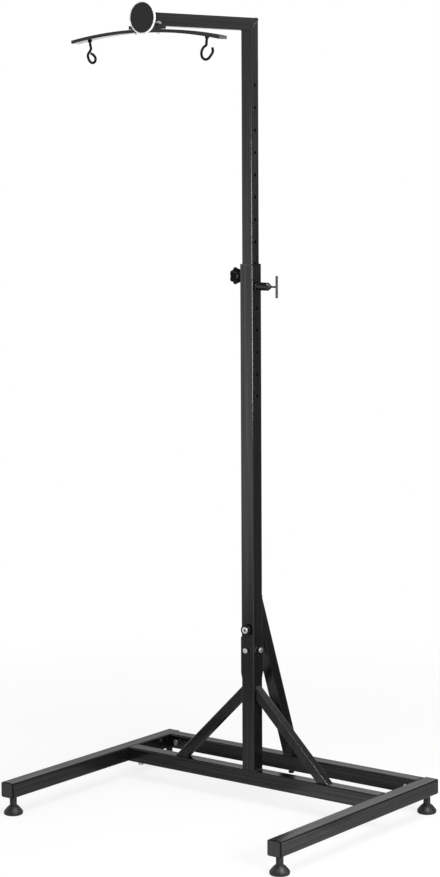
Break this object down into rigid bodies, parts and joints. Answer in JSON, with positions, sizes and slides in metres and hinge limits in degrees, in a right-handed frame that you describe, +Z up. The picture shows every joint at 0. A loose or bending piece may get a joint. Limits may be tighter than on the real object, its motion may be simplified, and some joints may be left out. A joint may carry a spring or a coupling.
{
  "type": "gong stand",
  "caption": "Tall gong stand of square steel tube: a wide levelled base, a telescopic mast with an arm, and a shallow bow whose hooks hold a gong on cords.",
  "frame": {"origin": "on the floor under the middle of the base", "axes": "+Z up along the mast, -Y the way the arm points (the front), +X to the right seen from the front"},
  "size_m": [0.91, 0.7, 2.0766],
  "materials": {
    "black_paint": "fine-textured satin powder coat",
    "black_plastic": "matt moulded",
    "zinc": "bright zinc plating",
    "dark_steel": "black oxide",
    "pale_plastic": "satin",
    "badge_black": "satin"
  },
  "bodies": {
    "base": {"left_side_beam": "black_paint", "right_side_beam": "black_paint", "front_crossbar": "black_paint", "rear_crossbar": "black_paint", "stub_post": "black_paint", "left_brace": "black_paint", "right_brace": "black_paint", "rear_strut": "black_paint", "strut_head_plate": "black_paint", "strut_foot_plate": "black_paint", "lower_mast": "black_paint", "front_left_end_cap": "black_plastic", "front_left_crossbar_bolt": "zinc", "front_right_end_cap": "black_plastic", "front_right_crossbar_bolt": "zinc", "rear_left_end_cap": "black_plastic", "rear_left_crossbar_bolt": "zinc", "rear_right_end_cap": "black_plastic", "rear_right_crossbar_bolt": "zinc", "front_socket_bolt": "zinc", "right_socket_bolt": "zinc", "strut_foot_bolt": "zinc", "pin_spring": "zinc", "mast_guide_bush": "black_plastic", "pin_housing": "black_plastic", "clamp_boss": "dark_steel"},
    "upper": {"upper_mast": "black_paint", "upper_mast_glide": "black_plastic", "arm": "black_paint", "arm_end_plug": "black_plastic", "badge_rim": "pale_plastic", "badge_face": "badge_black", "mount_plate": "black_paint", "bow": "black_paint", "left_bow_bolt": "zinc", "right_bow_bolt": "zinc"},
    "plunger": {"pull_pin": "dark_steel", "pin_handle": "dark_steel"},
    "clamp": {"clamp_stud": "zinc", "clamp_tip": "pale_plastic"},
    "clamp_knob": {"star_knob": "black_plastic"},
    "strut_screw_body": {"strut_screw": "zinc"},
    "strut_knob_body": {"strut_knob": "dark_steel"},
    "left_hook_body": {"left_hook": "dark_steel"},
    "right_hook_body": {"right_hook": "dark_steel"},
    "front_left_stud_body": {"front_left_foot_stud": "zinc"},
    "front_left_pad_body": {"front_left_foot_pad": "black_plastic"},
    "front_right_stud_body": {"front_right_foot_stud": "zinc"},
    "front_right_pad_body": {"front_right_foot_pad": "black_plastic"},
    "rear_left_stud_body": {"rear_left_foot_stud": "zinc"},
    "rear_left_pad_body": {"rear_left_foot_pad": "black_plastic"},
    "rear_right_stud_body": {"rear_right_foot_stud": "zinc"},
    "rear_right_pad_body": {"rear_right_foot_pad": "black_plastic"}
  },
  "joints": [
    {"name": "mast_height", "type": "slide", "parent": "base", "child": "upper", "axis": [0, 0, 1], "range_m": [-0.513, 0.114]},
    {"name": "pull_pin_travel", "type": "slide", "parent": "base", "child": "plunger", "axis": [-1, 0, 0], "range_m": [0, 0.009], "deforming": ["pin_spring"]},
    {"name": "clamp_travel", "type": "slide", "parent": "base", "child": "clamp", "axis": [-1, 0, 0], "range_m": [0, 0.004]},
    {"name": "clamp_knob_turn", "type": "hinge", "parent": "clamp", "child": "clamp_knob", "pos_m": [-0.04, 0.142, 1.393], "axis": [-1, 0, 0], "range_deg": [0, 1150]},
    {"name": "strut_screw_travel", "type": "slide", "parent": "base", "child": "strut_screw_body", "axis": [0, -1, 0], "range_m": [0, 0.006]},
    {"name": "strut_knob_turn", "type": "hinge", "parent": "strut_screw_body", "child": "strut_knob_body", "pos_m": [0, 0.117, 0.467], "axis": [0, -1, 0], "range_deg": [0, 1725]},
    {"name": "front_left_foot_travel", "type": "slide", "parent": "base", "child": "front_left_stud_body", "axis": [0, 0, -1], "range_m": [0, 0.012]},
    {"name": "front_left_foot_turn", "type": "hinge", "parent": "front_left_stud_body", "child": "front_left_pad_body", "pos_m": [-0.43, -0.325, 0.024], "axis": [0, 0, -1], "range_deg": [0, 3450]},
    {"name": "front_right_foot_travel", "type": "slide", "parent": "base", "child": "front_right_stud_body", "axis": [0, 0, -1], "range_m": [0, 0.012]},
    {"name": "front_right_foot_turn", "type": "hinge", "parent": "front_right_stud_body", "child": "front_right_pad_body", "pos_m": [0.43, -0.325, 0.024], "axis": [0, 0, -1], "range_deg": [0, 3450]},
    {"name": "rear_left_foot_travel", "type": "slide", "parent": "base", "child": "rear_left_stud_body", "axis": [0, 0, -1], "range_m": [0, 0.012]},
    {"name": "rear_left_foot_turn", "type": "hinge", "parent": "rear_left_stud_body", "child": "rear_left_pad_body", "pos_m": [-0.43, 0.325, 0.024], "axis": [0, 0, -1], "range_deg": [0, 3450]},
    {"name": "rear_right_foot_travel", "type": "slide", "parent": "base", "child": "rear_right_stud_body", "axis": [0, 0, -1], "range_m": [0, 0.012]},
    {"name": "rear_right_foot_turn", "type": "hinge", "parent": "rear_right_stud_body", "child": "rear_right_pad_body", "pos_m": [0.43, 0.325, 0.024], "axis": [0, 0, -1], "range_deg": [0, 3450]},
    {"name": "left_hook_swivel", "type": "hinge", "parent": "upper", "child": "left_hook_body", "pos_m": [-0.184, -0.2702, 1.99626], "axis": [-0.1474, 0, 0.9891], "continuous": true},
    {"name": "right_hook_swivel", "type": "hinge", "parent": "upper", "child": "right_hook_body", "pos_m": [0.184, -0.2702, 1.99626], "axis": [0.1474, 0, 0.9891], "continuous": true}
  ],
  "couplings": [
    {"joint": "clamp_travel", "follows": "clamp_knob_turn", "m_per_rad": 0.00019894},
    {"joint": "strut_screw_travel", "follows": "strut_knob_turn", "m_per_rad": 0.00019894},
    {"joint": "front_left_foot_travel", "follows": "front_left_foot_turn", "m_per_rad": 0.00019894},
    {"joint": "front_right_foot_travel", "follows": "front_right_foot_turn", "m_per_rad": 0.00019894},
    {"joint": "rear_left_foot_travel", "follows": "rear_left_foot_turn", "m_per_rad": 0.00019894},
    {"joint": "rear_right_foot_travel", "follows": "rear_right_foot_turn", "m_per_rad": 0.00019894}
  ]
}
